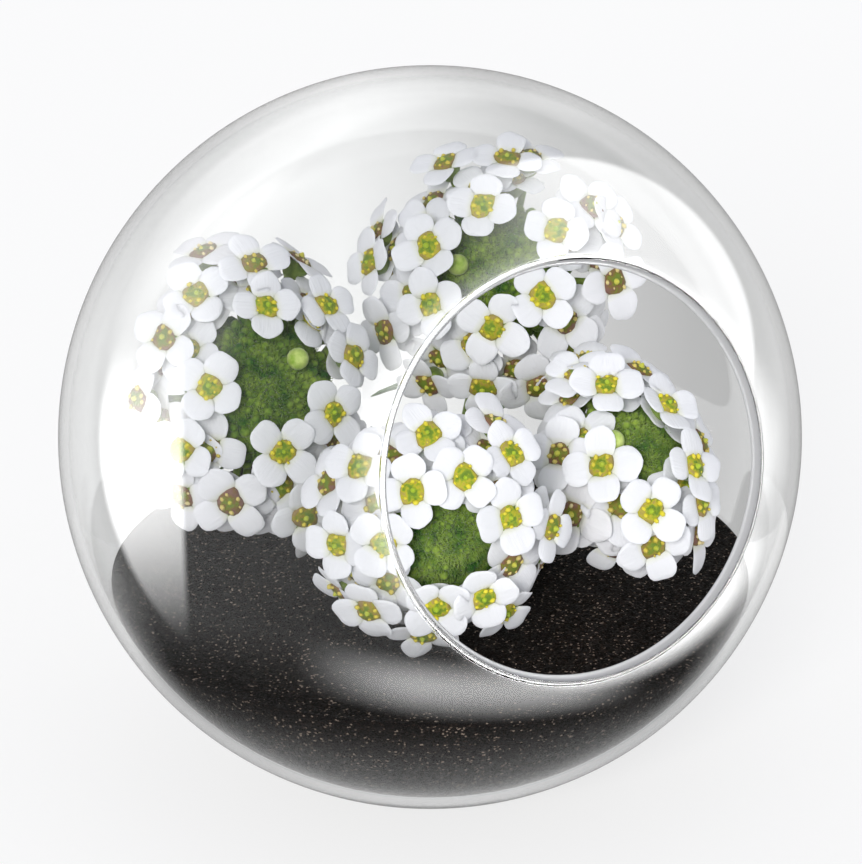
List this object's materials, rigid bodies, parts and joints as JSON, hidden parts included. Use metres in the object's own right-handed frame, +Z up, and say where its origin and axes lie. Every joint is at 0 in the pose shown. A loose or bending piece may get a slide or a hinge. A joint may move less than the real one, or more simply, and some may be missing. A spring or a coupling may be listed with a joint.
{
  "type": "sweet alyssum in a glass globe",
  "caption": "Sweet alyssum planted in dark grit inside a clear glass globe with a round side mouth; domed heads of small white florets are ringed round green buds.",
  "frame": {"origin": "centre of the ground flat that the globe stands on", "axes": "+Z up; the mouth looks towards -Y, turned 27.5 degrees towards +X and 15.5 degrees upwards"},
  "size_m": [0.0699, 0.0698, 0.0678],
  "materials": {
    "glass": "clear blown soda-lime glass, fire-polished lip",
    "grit": "dry dark grit with a few bright grains",
    "greens": "soft matt plant tissue, finely haired",
    "petals": "white petals, satin and slightly translucent"
  },
  "bodies": {
    "root": {"glass_globe": "glass", "grit": "grit", "left_stem_and_buds": "greens", "left_petals": "petals", "back_stem_and_buds": "greens", "back_petals": "petals", "front_stem_and_buds": "greens", "front_petals": "petals", "right_stem_and_buds": "greens", "right_petals": "petals"}
  },
  "joints": []
}
